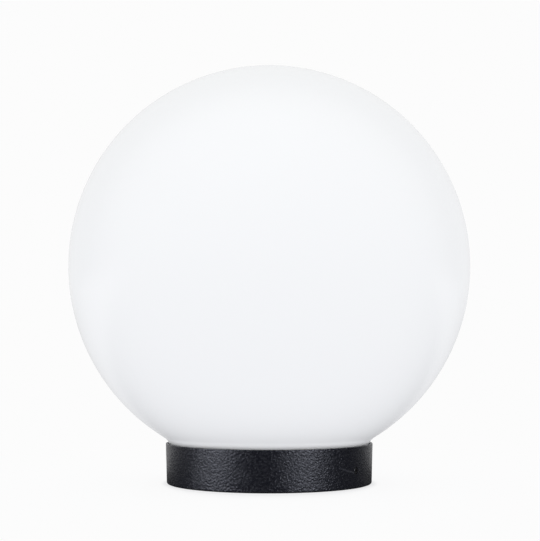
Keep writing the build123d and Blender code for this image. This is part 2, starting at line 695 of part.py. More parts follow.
with BuildPart() as terminal_block_body:
    with BuildSketch(block_plane.offset(BOSS_TOP_Z)):
        Rectangle(BLOCK_LENGTH, BLOCK_SLAB_W)
    extrude(amount=BLOCK_SLAB_H)
    with BuildSketch(block_plane.offset(BLOCK_Z)):
        with Locations(*[(0, y) for y in POLE_YS]):
            Rectangle(BLOCK_LENGTH, POLE_W)
    extrude(amount=POLE_H)
    fillet(terminal_block_body.faces().sort_by(Axis.Z)[-2:].edges(), POLE_ROUND)
    with BuildSketch(*tube_planes(-BLOCK_LENGTH / 2)):
        Circle(TUBE_R + TUBE_GAP)
    extrude(amount=BLOCK_LENGTH, mode=Mode.SUBTRACT)
    with BuildSketch(block_plane.offset(TUBE_Z)):
        with Locations(*CLAMPS):
            Circle(CLAMP_WELL_R)
    extrude(amount=POLE_H - TUBE_RISE, mode=Mode.SUBTRACT)
    with BuildSketch(block_plane.offset(BLOCK_Z)):
        Circle(M3_HEAD_R + BLOCK_HEAD_GAP)
    extrude(amount=POLE_H, mode=Mode.SUBTRACT)
    with BuildSketch(block_plane.offset(BOSS_TOP_Z)):
        Circle(M3_R + M3_GAP)
    extrude(amount=BLOCK_SLAB_H, mode=Mode.SUBTRACT)
terminal_block_body.part.label = "terminal_block_body"
export_step(terminal_block_body.part, "parts/terminal_block_body.step")

with BuildPart() as terminal_tubes:
    with BuildSketch(*tube_planes(-TUBE_LENGTH / 2)):
        Circle(TUBE_R)
        Circle(TUBE_BORE_R, mode=Mode.SUBTRACT)
    extrude(amount=TUBE_LENGTH)
    with BuildSketch(block_plane.offset(TUBE_Z)):
        with Locations(*CLAMPS):
            Circle(GRUB_R)
    extrude(amount=TUBE_R, mode=Mode.SUBTRACT)
terminal_tubes.part.label = "terminal_tubes"
export_step(terminal_tubes.part, "parts/terminal_tubes.step")

with BuildPart() as terminal_screws:
    clamp_z = TUBE_Z + CORE_R + CORE_GAP
    with BuildSketch(block_plane.offset(clamp_z)):
        with Locations(*CLAMPS):
            Circle(GRUB_R)
    extrude(amount=CLAMP_LENGTH)
    with BuildSketch(block_plane.offset(clamp_z + CLAMP_LENGTH)):
        with Locations(*CLAMPS):
            Rectangle(M3_SLOT_W, 2 * GRUB_R)
    extrude(amount=-M3_SLOT_DEPTH, mode=Mode.SUBTRACT)
terminal_screws.part.label = "terminal_screws"
export_step(terminal_screws.part, "parts/terminal_screws.step")

with BuildPart() as terminal_block_screw:
    pan_screw([block_plane.offset(BLOCK_Z)], BLOCK_SLAB_H + BLIND_DEPTH - SCREW_HOLE_SPARE)
terminal_block_screw.part.label = "terminal_block_screw"
export_step(terminal_block_screw.part, "parts/terminal_block_screw.step")

# ---- internal wires, from the block's inner end down, across and up into the holder's pockets ----
WIRE_TOP_Z = HOLDER_Z + TERMINAL_STRIP_Z - LEAF_GAP
WIRE_X = M3_R + CORE_R + CORE_GAP  # beside a terminal screw's shank
WIRE_Y = TERMINAL_Y + LEAF_T + CORE_R


def wire_solid(pole, way, side):
    """A wire by its pole, its way (steps from its start, then from its end) and the holder's side."""
    start = block_plane.from_local_coords((-BLOCK_LENGTH / 2 - WIRE_TUBE_GAP, pole, TUBE_Z))
    end = Vector(WIRE_X, side * WIRE_Y, WIRE_TOP_Z)
    near_start, near_end = way
    points = [start]
    points += [start + Vector(step) for step in near_start]
    points += [end + Vector(step) for step in near_end]
    points += [end]
    with BuildLine() as route:
        FilletPolyline(*points, radius=bend_radii(points))
    with BuildSketch(Plane(start, z_dir=points[1] - start)) as cover:
        Circle(WIRE_R)
    sweep(cover.sketch, path=route.line)
    # bare copper at both ends
    with BuildSketch(Plane(start, z_dir=block_plane.x_dir)) as core:
        Circle(CORE_R)
    extrude(core.sketch, amount=CORE_IN_TUBE)
    with BuildSketch(Plane(end)) as tail:
        Circle(CORE_R)
    extrude(tail.sketch, amount=CORE_UNDER_HEAD)


INWARDS = block_plane.x_dir * -1
LIVE_WAY = (
    [INWARDS * LIVE_LEAD - Vector(0, 0, LIVE_LEAD_SAG), LIVE_BEND],
    [(0, 0, -WIRE_TAIL)],
)
NEUTRAL_WAY = (
    [INWARDS * NEUTRAL_LEAD - Vector(0, 0, NEUTRAL_LEAD_SAG), *NEUTRAL_BENDS],
    [NEUTRAL_RISE, (0, 0, -WIRE_TAIL)],
)

with BuildPart() as wire_live:
    wire_solid(POLE_OFFSET, LIVE_WAY, 1)
wire_live.part.label = "wire_live"
export_step(wire_live.part, "parts/wire_live.step")

with BuildPart() as wire_neutral:
    wire_solid(-POLE_OFFSET, NEUTRAL_WAY, -1)
wire_neutral.part.label = "wire_neutral"
export_step(wire_neutral.part, "parts/wire_neutral.step")

# ---- bulb: contact, glass bead and threaded cap ----
with BuildPart() as bulb_contact:
    with BuildSketch(Plane.XZ):
        with BuildLine():
            Polyline(
                (0, TIP_Z),
                (TIP_R, TIP_Z),
                (TIP_TOP_R, TIP_Z + TIP_H),
                (0, TIP_Z + TIP_H),
                close=True,
            )
        make_face()
    revolve(axis=Axis.Z)
bulb_contact.part.label = "bulb_contact"
export_step(bulb_contact.part, "parts/bulb_contact.step")

CAP_IN_R = CAP_CORE_R - CAP_WALL
CAP_Z = TIP_Z + CAP_START
CAP_TOP_Z = TIP_Z + CAP_TOP

with BuildPart() as bulb_insulator:
    with BuildSketch(Plane.XZ):
        with BuildLine():
            Polyline(
                (0, TIP_Z + TIP_H),
                (BEAD_LOW_R, TIP_Z + TIP_H),
                (BEAD_R, CAP_Z - BEAD_EDGE_H),
                (BEAD_R, CAP_Z),
                (CAP_IN_R, CAP_Z),
                (CAP_IN_R, CAP_Z + BEAD_SPIGOT_H),
                (0, CAP_Z + BEAD_SPIGOT_H),
                close=True,
            )
        make_face()
    revolve(axis=Axis.Z)
bulb_insulator.part.label = "bulb_insulator"
export_step(bulb_insulator.part, "parts/bulb_insulator.step")

with BuildPart() as bulb_cap:
    with BuildSketch(Plane.XY.offset(CAP_Z)):
        Circle(CAP_CORE_R)
    extrude(amount=CAP_TOP_Z - CAP_Z)
    with BuildLine(Plane.XY.offset(THREAD_Z)) as ridge_path:
        Helix(pitch=THREAD_PITCH, height=THREAD_TURNS * THREAD_PITCH, radius=THREAD_R)
    with BuildSketch(
        Plane(ridge_path.line @ 0, x_dir=(1, 0, 0), z_dir=ridge_path.line % 0)
    ):
        Circle(THREAD_RIDGE_R)
    sweep(path=ridge_path.line, is_frenet=True)
    with BuildSketch(Plane.XY.offset(CAP_Z)):
        Circle(CAP_IN_R)
    extrude(amount=CAP_TOP_Z - CAP_Z, mode=Mode.SUBTRACT)
bulb_cap.part.label = "bulb_cap"
export_step(bulb_cap.part, "parts/bulb_cap.step")

# ---- bulb: housing, boards and diffuser ----
COLLAR_TOP_Z = CAP_TOP_Z + HOUSING_COLLAR_H
HOUSING_TOP_Z = TIP_Z + HOUSING_TOP
LED_BOARD_Z = HOUSING_TOP_Z - LED_BOARD_SINK - LED_BOARD_T
SPIGOT_IN_R = CAP_IN_R - SPIGOT_WALL


def housing_curve(wall):
    """The flare of the bulb's housing in a profile, this far inside its outer face."""
    low = Vector(HOUSING_R - wall, COLLAR_TOP_Z)
    high = Vector(HOUSING_TOP_R - wall, HOUSING_TOP_Z)
    middle = low + (high - low) * HOUSING_WAIST_SHARE + Vector(HOUSING_HOLLOW, -HOUSING_HOLLOW / 2)
    ThreePointArc(low, middle, high)
    return low, high


with BuildPart() as bulb_housing:
    with BuildSketch(Plane.XZ):
        with BuildLine():
            low, high = housing_curve(0)
            Polyline((0, COLLAR_TOP_Z), (0, CAP_TOP_Z), (HOUSING_R, CAP_TOP_Z), low)
            Polyline(high, (0, HOUSING_TOP_Z), (0, COLLAR_TOP_Z))
        make_face()
    revolve(axis=Axis.Z)
    with BuildSketch(Plane.XZ):
        with BuildLine():
            low, high = housing_curve(HOUSING_WALL)
            Polyline(high, (0, HOUSING_TOP_Z), (0, COLLAR_TOP_Z), low)
        make_face()
    revolve(axis=Axis.Z, mode=Mode.SUBTRACT)
    with BuildSketch(Plane.XY.offset(LED_BOARD_Z - LED_LEDGE_H)):
        Circle(HOUSING_TOP_R - HOUSING_WALL)
        Circle(HOUSING_TOP_R - HOUSING_WALL - LED_LEDGE_W - LED_BOARD_GAP, mode=Mode.SUBTRACT)
    extrude(amount=LED_LEDGE_H)
    with BuildSketch(Plane.XY.offset(CAP_TOP_Z - SPIGOT_H)):
        Circle(CAP_IN_R)
    extrude(amount=SPIGOT_H)
    with BuildSketch(Plane.XY.offset(CAP_TOP_Z - SPIGOT_H)):
        Circle(SPIGOT_IN_R)
    extrude(amount=SPIGOT_H + HOUSING_COLLAR_H, mode=Mode.SUBTRACT)
bulb_housing.part.label = "bulb_housing"
export_step(bulb_housing.part, "parts/bulb_housing.step")

with BuildPart() as bulb_driver:
    with BuildSketch(Plane.XY.offset(TIP_Z + DRIVER_START)):
        Rectangle(2 * sqrt((SPIGOT_IN_R - DRIVER_GAP) ** 2 - (DRIVER_T / 2) ** 2), DRIVER_T)
    extrude(amount=LED_BOARD_Z - DRIVER_GAP - TIP_Z - DRIVER_START)
    with BuildSketch(Plane.XY.offset(COLLAR_TOP_Z + CHOKE_H)):
        with Locations((0, -(DRIVER_T + CHOKE_DEPTH) / 2)):
            Rectangle(CHOKE_W, CHOKE_DEPTH)
    extrude(amount=CHOKE_H)
    with BuildSketch(Plane.XY.offset(COLLAR_TOP_Z + CHOKE_H)):
        with Locations((0, DRIVER_T / 2 + CAPACITOR_R)):
            Circle(CAPACITOR_R)
        with Locations((0, DRIVER_T / 2)):
            Rectangle(CAPACITOR_R, CAPACITOR_R, align=(Align.CENTER, Align.MIN))
    extrude(amount=CAPACITOR_H)
bulb_driver.part.label = "bulb_driver"
export_step(bulb_driver.part, "parts/bulb_driver.step")

with BuildPart() as bulb_led_board:
    with BuildSketch(Plane.XY.offset(LED_BOARD_Z)):
        Circle(HOUSING_TOP_R - HOUSING_WALL - LED_BOARD_GAP)
    extrude(amount=LED_BOARD_T)
bulb_led_board.part.label = "bulb_led_board"
export_step(bulb_led_board.part, "parts/bulb_led_board.step")

with BuildPart() as bulb_leds:
    with BuildSketch(Plane.XY.offset(LED_BOARD_Z + LED_BOARD_T)):
        with PolarLocations(LED_CIRCLE_R, LED_COUNT):
            Rectangle(LED_W, LED_W)
        with PolarLocations(LED_CIRCLE_R / 2, LED_COUNT // 2):
            Rectangle(LED_W, LED_W)
    extrude(amount=LED_T)
bulb_leds.part.label = "bulb_leds"
export_step(bulb_leds.part, "parts/bulb_leds.step")

BULB_TOP_Z = TIP_Z + BULB_LENGTH
DOME_CENTRE = (0, BULB_TOP_Z - BULB_R)


def diffuser_outline(wall):
    """The diffuser's outline in a profile, this far inside its outer face, from its foot up."""
    widest = (BULB_R - wall, DOME_CENTRE[1])
    rise = DOME_CENTRE[1] - HOUSING_TOP_Z
    swell = BULB_R - HOUSING_TOP_R
    swell_r = (rise**2 + swell**2) / (2 * swell)
    swell_centre = (BULB_R - swell_r, DOME_CENTRE[1])
    half_turn = degrees(atan2(rise, swell_r - swell)) / 2
    foot = (swell_centre[0] + sqrt((swell_r - wall) ** 2 - rise**2), HOUSING_TOP_Z)
    ThreePointArc(foot, turned(swell_centre, swell_r - wall, -half_turn), widest)
    ThreePointArc(
        widest,
        turned(DOME_CENTRE, BULB_R - wall, 45),
        turned(DOME_CENTRE, BULB_R - wall, 90),
    )
    return foot


with BuildPart() as bulb_diffuser:
    with BuildSketch(Plane.XZ):
        with BuildLine():
            outer_foot = diffuser_outline(0)
            inner_foot = diffuser_outline(DIFFUSER_WALL)
            Line(outer_foot, inner_foot)
            Line((0, BULB_TOP_Z - DIFFUSER_WALL), (0, BULB_TOP_Z))
        make_face()
    revolve(axis=Axis.Z)
bulb_diffuser.part.label = "bulb_diffuser"
export_step(bulb_diffuser.part, "parts/bulb_diffuser.step")
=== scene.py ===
"""Looks of a garden globe light: an opal globe on a black base, with its holder and bulb inside.

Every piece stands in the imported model's own frame: metres, +Z up, the front towards -Y.
"""

import logging
from dataclasses import dataclass, field
from enum import Enum
from math import atan2, cos, degrees, pi, radians, sin

import bmesh
import bpy
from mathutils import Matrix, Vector


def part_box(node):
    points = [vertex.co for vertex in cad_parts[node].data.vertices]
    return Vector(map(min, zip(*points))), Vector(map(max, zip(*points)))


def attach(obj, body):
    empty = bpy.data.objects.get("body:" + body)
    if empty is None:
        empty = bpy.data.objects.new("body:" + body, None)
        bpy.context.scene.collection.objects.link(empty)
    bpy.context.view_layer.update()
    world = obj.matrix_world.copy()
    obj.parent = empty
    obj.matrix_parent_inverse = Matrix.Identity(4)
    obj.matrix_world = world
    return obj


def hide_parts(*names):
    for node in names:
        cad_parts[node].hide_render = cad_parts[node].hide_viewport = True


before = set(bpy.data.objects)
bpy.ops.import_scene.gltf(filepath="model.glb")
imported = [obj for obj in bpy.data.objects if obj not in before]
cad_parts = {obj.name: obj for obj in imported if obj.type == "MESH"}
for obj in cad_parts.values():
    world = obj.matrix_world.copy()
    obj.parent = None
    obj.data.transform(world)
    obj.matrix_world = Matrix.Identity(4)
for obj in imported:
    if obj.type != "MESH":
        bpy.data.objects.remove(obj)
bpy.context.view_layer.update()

LOG = logging.getLogger("globe_light")
MM = 0.001
Colour = tuple[float, float, float]
Point = tuple[float, float, float]
Span = tuple[float, float]
WHITE: Colour = (1.0, 1.0, 1.0)
MERGE_DISTANCE = 1e-6
DEGENERATE = 1e-7


# ---------------------------------------------------------------- shader graphs


class Scalar:
    """A value socket that Python sums can use; each sum adds its Math node."""

    def __init__(self, graph: "Graph", socket: bpy.types.NodeSocket | None) -> None:
        """Wraps a socket.

        Args:
            graph: The graph that the socket's node belongs to.
            socket: The output, or None for a node that has none.
        """
        self.graph = graph
        self.socket = socket

    def _math(self, operation: str, *terms: "Scalar | float") -> "Scalar":
        """Adds one Math node.

        Args:
            operation: The Math node's operation.
            terms: Its inputs, in order.

        Returns:
            The node's value.
        """
        return self.graph.node("ShaderNodeMath", {"operation": operation}, dict(enumerate(terms)))

    def __add__(self, other: "Scalar | float") -> "Scalar":
        """self + other."""
        return self._math("ADD", self, other)

    def __radd__(self, other: float) -> "Scalar":
        """other + self."""
        return self._math("ADD", other, self)

    def __sub__(self, other: "Scalar | float") -> "Scalar":
        """self - other."""
        return self._math("SUBTRACT", self, other)

    def __rsub__(self, other: float) -> "Scalar":
        """other - self."""
        return self._math("SUBTRACT", other, self)

    def __mul__(self, other: "Scalar | float") -> "Scalar":
        """self * other."""
        return self._math("MULTIPLY", self, other)

    def __rmul__(self, other: float) -> "Scalar":
        """other * self."""
        return self._math("MULTIPLY", other, self)

    def __truediv__(self, other: "Scalar | float") -> "Scalar":
        """self / other."""
        return self._math("DIVIDE", self, other)

    def __pow__(self, other: float) -> "Scalar":
        """self to the power of other."""
        return self._math("POWER", self, other)

    def __neg__(self) -> "Scalar":
        """0 - self."""
        return 0.0 - self

    def __abs__(self) -> "Scalar":
        """The distance from nought."""
        return self._math("ABSOLUTE", self)

    def high(self, other: "Scalar | float") -> "Scalar":
        """The higher of self and other."""
        return self._math("MAXIMUM", self, other)

    def sine(self) -> "Scalar":
        """The sine of self, in radians."""
        return self._math("SINE", self)

    def angle_from(self, across: "Scalar") -> "Scalar":
        """The angle whose sides are across and self, in radians."""
        return self._math("ARCTAN2", self, across)

    def ramp(self, start: float, end: float) -> "Scalar":
        """A smooth step from 0 at start to 1 at end, where end may be the lower.

        Args:
            start: The value at which the step begins.
            end: The value at which it ends.

        Returns:
            The step, from 0 to 1.
        """
        return self.graph.node(
            "ShaderNodeMapRange",
            {"interpolation_type": "SMOOTHSTEP", "clamp": True},
            {"Value": self, "From Min": start, "From Max": end},
        )

    def between(self, low: "Scalar | float", high: "Scalar | float") -> "Scalar":
        """The value this far from low, at 0, to high, at 1.

        Args:
            low: The value where self is 0.
            high: The value where self is 1.

        Returns:
            The value between them.
        """
        return low + (high - low) * self


class Graph:
    """The node tree of one material or world."""

    def __init__(self, tree: bpy.types.NodeTree) -> None:
        """Empties the tree, ready for new nodes.

        Args:
            tree: The node tree.
        """
        self.tree = tree
        tree.nodes.clear()

    def node(
        self, kind: str, settings: dict | None = None, inputs: dict | None = None, output: str = ""
    ) -> Scalar:
        """Adds any node.

        Args:
            kind: The node's type.
            settings: Its properties, which are set first.
            inputs: Values or links by a socket's identifier, name or place.
            output: The output's name; the first live one if left out.

        Returns:
            The output, as a Scalar; its socket can feed anything.
        """
        node = self.tree.nodes.new(kind)
        for name, value in (settings or {}).items():
            setattr(node, name, value)
        for key, value in (inputs or {}).items():
            socket = self._find(node.inputs, key)
            if isinstance(value, Scalar):
                self.tree.links.new(value.socket, socket)
            else:
                socket.default_value = value
        if output:
            return Scalar(self, node.outputs[output])
        return Scalar(self, next((socket for socket in node.outputs if socket.enabled), None))

    @staticmethod
    def _find(sockets: bpy.types.NodeInputs, key: str | int) -> bpy.types.NodeSocket:
        """Finds a socket by its place, identifier or name.

        Args:
            sockets: The node's inputs.
            key: The place, identifier or name.

        Returns:
            The socket.
        """
        if isinstance(key, int):
            return sockets[key]
        for socket in sockets:
            if socket.identifier == key:
                return socket
        return next(socket for socket in sockets if socket.name == key and socket.enabled)

    def place(self) -> Scalar:
        """Object coordinates, in metres; in a world, the direction."""
        return self.node("ShaderNodeTexCoord", output="Object")

    def axes(self) -> tuple[Scalar, ...]:
        """X, Y and Z of the object coordinates."""
        split = self.node("ShaderNodeSeparateXYZ", {}, {0: self.place()})
        return tuple(Scalar(self, output) for output in split.socket.node.outputs)

    def ray(self, kind: str) -> Scalar:
        """1 for rays of a kind, such as Is Camera Ray."""
        return self.node("ShaderNodeLightPath", output=kind)

    def seen(self) -> Scalar:
        """1 for rays of the camera, reflections and glass, 0 for light that falls on things."""
        straight = self.ray("Is Camera Ray").high(self.ray("Is Glossy Ray"))
        return straight.high(self.ray("Is Transmission Ray"))

    def noise(
        self, size: float, detail: float = 2.0, rough: float = 0.5, lay: Point | None = None
    ) -> Scalar:
        """Noise from 0 to 1 whose blobs are about this size.

        Args:
            size: The blobs' size in metres.
            detail: The number of finer layers.
            rough: The strength of the finer layers.
            lay: How much the blobs are squeezed along each axis; left out, they are round.

        Returns:
            The noise.
        """
        where = self.place()
        if lay is not None:
            where = self.node(
                "ShaderNodeMapping", {"vector_type": "POINT"}, {"Vector": where, "Scale": lay}
            )
        return self.node(
            "ShaderNodeTexNoise",
            {"noise_dimensions": "3D"},
            {"Vector": where, "Scale": 1.0 / size, "Detail": detail, "Roughness": rough},
        )

    def cells(self, size: float) -> Scalar:
        """Distance to the middle of the nearest of scattered cells.

        Args:
            size: The cells' size in metres.

        Returns:
            The distance, in cells.
        """
        return self.node(
            "ShaderNodeTexVoronoi",
            {"feature": "F1"},
            {"Vector": self.place(), "Scale": 1.0 / size},
        )

    def blend(self, factor: Scalar | float, a: Scalar | Colour, b: Scalar | Colour) -> Scalar:
        """A colour from a, where the factor is 0, to b, where it is 1.

        Args:
            factor: The share of b.
            a: The first colour.
            b: The second colour.

        Returns:
            The mixed colour.
        """
        return self.node(
            "ShaderNodeMix",
            {"data_type": "RGBA"},
            {"Factor_Float": factor, "A_Color": self._rgba(a), "B_Color": self._rgba(b)},
        )

    @staticmethod
    def _rgba(colour: Scalar | Colour) -> Scalar | tuple[float, ...]:
        """A colour as a socket takes it."""
        return colour if isinstance(colour, Scalar) else (*colour, 1.0)

    def bump(self, height: Scalar, depth: float, below: Scalar | None = None) -> Scalar:
        """A surface normal from a height field.

        Args:
            height: The height, from 0 to 1.
            depth: The height in metres that 1 stands for.
            below: A coarser bump that this one lies on.

        Returns:
            The normal.
        """
        inputs = {"Height": height, "Distance": depth, "Strength": 1.0}
        if below is not None:
            inputs["Normal"] = below
        return self.node("ShaderNodeBump", {}, inputs)

    def light(self, kind: str, colour: Scalar | Colour, strength: Scalar) -> Scalar:
        """Adds a shader that gives light of its own.

        Args:
            kind: Emission in a material, Background in a world.
            colour: The light's colour.
            strength: Its strength.

        Returns:
            The shader.
        """
        inputs = {"Color": self._rgba(colour), "Strength": strength}
        return self.node(f"ShaderNode{kind}", {}, inputs)

    def mixed(self, factor: Scalar, a: Scalar, b: Scalar, end: str = "Material") -> None:
        """Ends the graph in two shaders.

        Args:
            factor: The share of b.
            a: The first shader.
            b: The second shader.
            end: The output node's kind, Material or World.
        """
        shader = self.node("ShaderNodeMixShader", {}, {0: factor, 1: a, 2: b})
        self.node(f"ShaderNodeOutput{end}", {}, {"Surface": shader})

    def surface(self, sockets: dict) -> None:
        """Ends the graph in a Principled surface.

        Args:
            sockets: Values or links by the shader's socket names.
        """
        shader = self.node("ShaderNodeBsdfPrincipled", {}, sockets)
        self.node("ShaderNodeOutputMaterial", {}, {"Surface": shader})


# ---------------------------------------------------------------- finishes


@dataclass(frozen=True)
class Finish:
    """A surface finish, made once and shared by every piece that has it."""

    name: str
    colour: Colour

    def material(self) -> bpy.types.Material:
        """The finish's material.

        Returns:
            The material, made the first time that it is asked for.
        """
        made = bpy.data.materials.get(self.name)
        if made is None:
            made = bpy.data.materials.new(self.name)
            made.use_nodes = True
            made.diffuse_color = (*self.colour, 1.0)
            self.paint(Graph(made.node_tree))
        return made

    def tinted(self, gain: float | Colour, lift: float = 0.0) -> Colour:
        """The finish's colour, scaled and raised.

        Args:
            gain: What the colour is multiplied by, as one number or as one for each channel.
            lift: What is then added.

        Returns:
            The new colour, with no channel over 1.
        """
        gains = gain if isinstance(gain, tuple) else (gain,) * 3
        return tuple(min(1.0, c * k + lift) for c, k in zip(self.colour, gains))

    def paint(self, graph: Graph) -> None:
        """Adds the finish's nodes.

        Args:
            graph: The material's empty graph.
        """
        raise NotImplementedError


@dataclass(frozen=True)
class OpalAcrylic(Finish):
    """Glossy milk-white acrylic, a little cloudy and faintly wavy from its mould."""

    ior: float = 1.49
    gloss: float = 0.03
    roughness: float = 0.2
    milkiness: float = 1.0
    depth: float = 6.0 * MM  # that light travels under the skin
    coat_ior: float = 1.002  # so low that the coat shows at the limb alone, as its tint
    coat_roughness: float = 0.3
    coat_tint: Colour = (0.9975, 0.9975, 0.998)
    cloud_size: float = 60 * MM
    cloud_depth: float = 0.012
    wave_size: float = 26 * MM
    wave_height: float = 0.02 * MM
    smear_size: float = 8 * MM
    smear: float = 0.05
    speck_size: float = 0.7 * MM
    speck: float = 0.02

    def paint(self, graph: Graph) -> None:
        """Adds the clouds, the mould's waves and the gloss."""
        cloud = graph.noise(self.cloud_size, detail=3.0)
        smears = graph.noise(self.smear_size, detail=3.0)
        specks = graph.noise(self.speck_size)
        deep, pale = self.tinted(1.0 - self.cloud_depth), self.tinted(1.0 + self.cloud_depth)
        waves = graph.noise(self.wave_size, detail=1.0)
        graph.surface(
            {
                "Base Color": graph.blend(cloud, deep, pale),
                "Roughness": self.roughness + self.smear * smears + self.speck * specks,
                "Normal": graph.bump(waves, self.wave_height),
                "IOR": self.ior,
                "Specular IOR Level": self.gloss,
                "Subsurface Weight": self.milkiness,
                "Subsurface Radius": WHITE,
                "Subsurface Scale": self.depth,
                "Coat Weight": 1.0,
                "Coat IOR": self.coat_ior,
                "Coat Roughness": self.coat_roughness,
                "Coat Tint": (*self.coat_tint, 1.0),
            }
        )


@dataclass(frozen=True)
class GrainedPlastic(Finish):
    """Black plastic with the fine grain of a spark-eroded mould and a flow mark by one hole."""

    ior: float = 1.5
    gloss: float = 0.5
    sheen: Colour = (0.83, 0.86, 1.0)
    grain: float = 0.95 * MM
    grain_share: float = 0.34
    fine_grain: float = 0.45 * MM
    fine_share: float = 0.36
    pit_stretch: float = 1.15  # the pits' size, as a multiple of the grain's
    pit_edge: Span = (0.10, 0.62)
    pit_share: float = 0.30
    depth: float = 0.23 * MM
    roughness: float = 0.33
    least_roughness: float = 0.16
    patch_size: float = 9 * MM
    patch_roughness: float = 0.10
    peak_edge: Span = (0.52, 0.72)
    peak_polish: float = 0.16
    peak_wear: float = 0.55
    worn: float = 1.5
    mark_polish: float = 0.1
    mark_wear: float = 0.8
    scuffed: tuple[float, float] = (2.4, 0.013)  # gain and lift
    mark_relief: float = 0.05 * MM
    hole_angle: float = -36.4
    hole_height: float = 8.6 * MM
    wall_radius: float = 51.1 * MM
    mark_drop: float = 1.5 * MM  # below the hole's centre
    mark_slope: float = 0.25
    wander: float = 2.2 * MM
    wander_size: float = 3.2 * MM
    mark_edge: Span = (0.55 * MM, 0.15 * MM)
    mark_start: Span = (-13.5 * MM, -10.0 * MM)  # left of the hole's centre, along the wall
    mark_end: Span = (-1.2 * MM, -1.7 * MM)

    def paint(self, graph: Graph) -> None:
        """Adds the grain, the worn high spots and the flow mark."""
        coarse = graph.noise(self.grain, rough=0.6)
        fine = graph.noise(self.fine_grain, rough=0.65)
        pits = graph.cells(self.grain * self.pit_stretch).ramp(*self.pit_edge)
        height = self.grain_share * coarse + self.fine_share * fine + self.pit_share * pits
        peaks = height.ramp(*self.peak_edge)
        patches = graph.noise(self.patch_size, detail=3.0, rough=0.6)
        mark = self.flow_mark(graph)
        colour = graph.blend(peaks * self.peak_wear, self.colour, self.tinted(self.worn))
        colour = graph.blend(mark * self.mark_wear, colour, self.tinted(*self.scuffed))
        roughness = self.roughness + self.patch_roughness * patches
        roughness = roughness - self.peak_polish * peaks - self.mark_polish * mark
        graph.surface(
            {
                "Base Color": colour,
                "Roughness": roughness.high(self.least_roughness),
                "Normal": graph.bump(mark, self.mark_relief, graph.bump(height, self.depth)),
                "IOR": self.ior,
                "Specular IOR Level": self.gloss,
                "Specular Tint": (*self.sheen, 1.0),
            }
        )

    def flow_mark(self, graph: Graph) -> Scalar:
        """The thin wandering line where the plastic's flow met round the screw hole.

        Args:
            graph: The material's graph.

        Returns:
            1 on the line, 0 elsewhere.
        """
        x, y, z = graph.axes()
        along = (y.angle_from(x) - radians(self.hole_angle)) * self.wall_radius
        drift = (graph.noise(self.wander_size, detail=3.0, rough=0.7) - 0.5) * self.wander
        off = abs(z - (self.hole_height - self.mark_drop) + along * self.mark_slope - drift)
        reach = along.ramp(*self.mark_start) * along.ramp(*self.mark_end)
        return off.ramp(*self.mark_edge) * reach


@dataclass(frozen=True)
class MouldedPlastic(Finish):
    """Smooth moulded plastic with a faint orange peel."""

    roughness: float = 0.35
    dust: float = 0.05
    dust_roughness: float = 0.12
    dust_size: float = 12 * MM
    dust_edge: Span = (0.35, 0.8)
    dust_share: float = 0.6
    speckle_size: float = 0.5 * MM
    speckle_share: float = 0.3
    peel: float = 1.6 * MM
    peel_depth: float = 0.012 * MM

    def paint(self, graph: Graph) -> None:
        """Adds the orange peel, small speckles and a little dust in patches."""
        speckle = graph.noise(self.speckle_size)
        patches = graph.noise(self.dust_size, detail=3.0, rough=0.6).ramp(*self.dust_edge)
        dirt = patches * self.dust_share + speckle * self.speckle_share
        graph.surface(
            {
                "Base Color": graph.blend(dirt, self.colour, self.tinted(1.0 - self.dust)),
                "Roughness": self.roughness + self.dust_roughness * patches,
                "Normal": graph.bump(graph.noise(self.peel), self.peel_depth),
            }
        )


@dataclass(frozen=True)
class MouldedRubber(Finish):
    """Dull black rubber with a bloom of talc."""

    roughness: float = 0.72
    skin_size: float = 0.25 * MM
    skin_depth: float = 0.02 * MM
    bloom_size: float = 2.5 * MM
    bloom_edge: Span = (0.45, 0.8)
    bloom_roughness: float = 0.15
    pale: tuple[float, float] = (1.8, 0.02)  # gain and lift

    def paint(self, graph: Graph) -> None:
        """Adds the matt skin and the bloom."""
        bloom = graph.noise(self.bloom_size, detail=4.0, rough=0.65).ramp(*self.bloom_edge)
        skin = graph.noise(self.skin_size, detail=3.0, rough=0.6)
        graph.surface(
            {
                "Base Color": graph.blend(bloom, self.colour, self.tinted(*self.pale)),
                "Roughness": self.roughness + self.bloom_roughness * bloom,
                "Normal": graph.bump(skin, self.skin_depth),
            }
        )


class Lay(Enum):
    """Which way a metal's tool marks run, as their squeeze along each axis."""

    ROLLED = (1.0, 18.0, 18.0)
    TURNED = (1.0, 1.0, 26.0)
    CAST = (1.0, 1.0, 1.0)


@dataclass(frozen=True)
class WorkedMetal(Finish):
    """Metal with its tool marks, small stains and a satin shine."""

    roughness: float = 0.3
    lay: Lay = Lay.ROLLED
    mark_size: float = 2.2 * MM
    mark_depth: float = 0.012 * MM
    mark_roughness: float = 0.16
    stain: Colour = (0.3, 0.27, 0.22)
    stain_size: float = 5 * MM
    stain_edge: Span = (0.55, 0.85)
    stain_share: float = 0.4
    stain_roughness: float = 0.2

    def paint(self, graph: Graph) -> None:
        """Adds the tool marks and the stains."""
        marks = graph.noise(self.mark_size, detail=3.0, rough=0.6, lay=self.lay.value)
        stains = graph.noise(self.stain_size, detail=4.0, rough=0.6).ramp(*self.stain_edge)
        texture = self.mark_roughness * marks
        graph.surface(
            {
                "Base Color": graph.blend(stains * self.stain_share, self.colour, self.stain),
                "Metallic": 1.0,
                "Roughness": self.roughness + texture + self.stain_roughness * stains,
                "Normal": graph.bump(marks, self.mark_depth),
            }
        )


